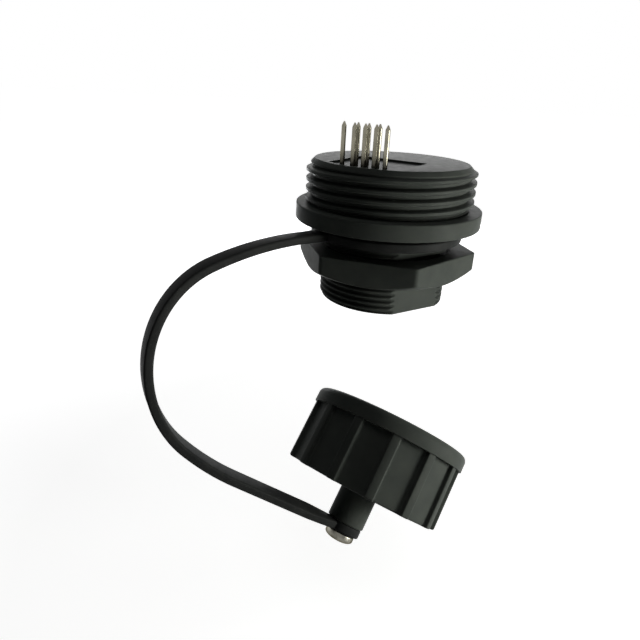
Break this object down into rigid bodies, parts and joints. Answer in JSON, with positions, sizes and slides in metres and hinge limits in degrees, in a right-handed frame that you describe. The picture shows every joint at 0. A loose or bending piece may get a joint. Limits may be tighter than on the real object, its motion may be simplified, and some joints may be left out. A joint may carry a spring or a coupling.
{
  "type": "panel-mount usb-a socket",
  "caption": "Round waterproof panel socket with a USB-A port, threaded barrel, hex nut, solder tails and a ribbed dust cap on a looped strap.",
  "frame": {"origin": "on the port axis, in the plane of the flange's underside, which seats on the panel", "axes": "+Z along the port axis from the panel towards the solder tails; the mating barrel points to -Z; +X to the right and -Y towards the viewer, with the strap's loop at -X"},
  "size_m": [0.0567, 0.0507, 0.0763],
  "materials": {
    "moulded_plastic": "satin black moulded plastic",
    "carrier_plastic": "matte black moulded plastic",
    "strap_plastic": "flexible satin black plastic",
    "seal_rubber": "soft black rubber",
    "contact_metal": "pale plated copper alloy",
    "shell_steel": "bright plated sheet steel",
    "screw_steel": "bright plated steel",
    "tongue_plastic": "blue moulded plastic"
  },
  "bodies": {
    "connector": {"housing": "moulded_plastic", "flange_seal": "seal_rubber", "usb_shell": "shell_steel", "usb_tongue": "tongue_plastic", "port_seal": "seal_rubber", "tail_carrier": "carrier_plastic", "contact_ss_1": "contact_metal", "contact_ss_2": "contact_metal", "contact_ss_3": "contact_metal", "contact_ss_4": "contact_metal", "contact_ss_5": "contact_metal", "contact_usb2_1": "contact_metal", "contact_usb2_2": "contact_metal", "contact_usb2_3": "contact_metal", "contact_usb2_4": "contact_metal"},
    "nut": {"panel_nut": "moulded_plastic"},
    "tether": {"tether_strap": "strap_plastic"},
    "cap": {"dust_cap": "moulded_plastic", "cap_seal": "seal_rubber", "cap_screw": "screw_steel"}
  },
  "joints": [
    {"name": "nut_travel", "type": "slide", "parent": "connector", "child": "nut", "axis": [0, 0, 1], "range_m": [-0.0104, 0.0016]},
    {"name": "tether_swivel", "type": "hinge", "parent": "connector", "child": "tether", "pos_m": [0, 0, -0.0019], "axis": [0, 0, 1], "continuous": true},
    {"name": "cap_spin", "type": "hinge", "parent": "tether", "child": "cap", "pos_m": [-0.0054, -0.02292, -0.05419], "axis": [0.4123, 0.5356, 0.737], "continuous": true}
  ]
}
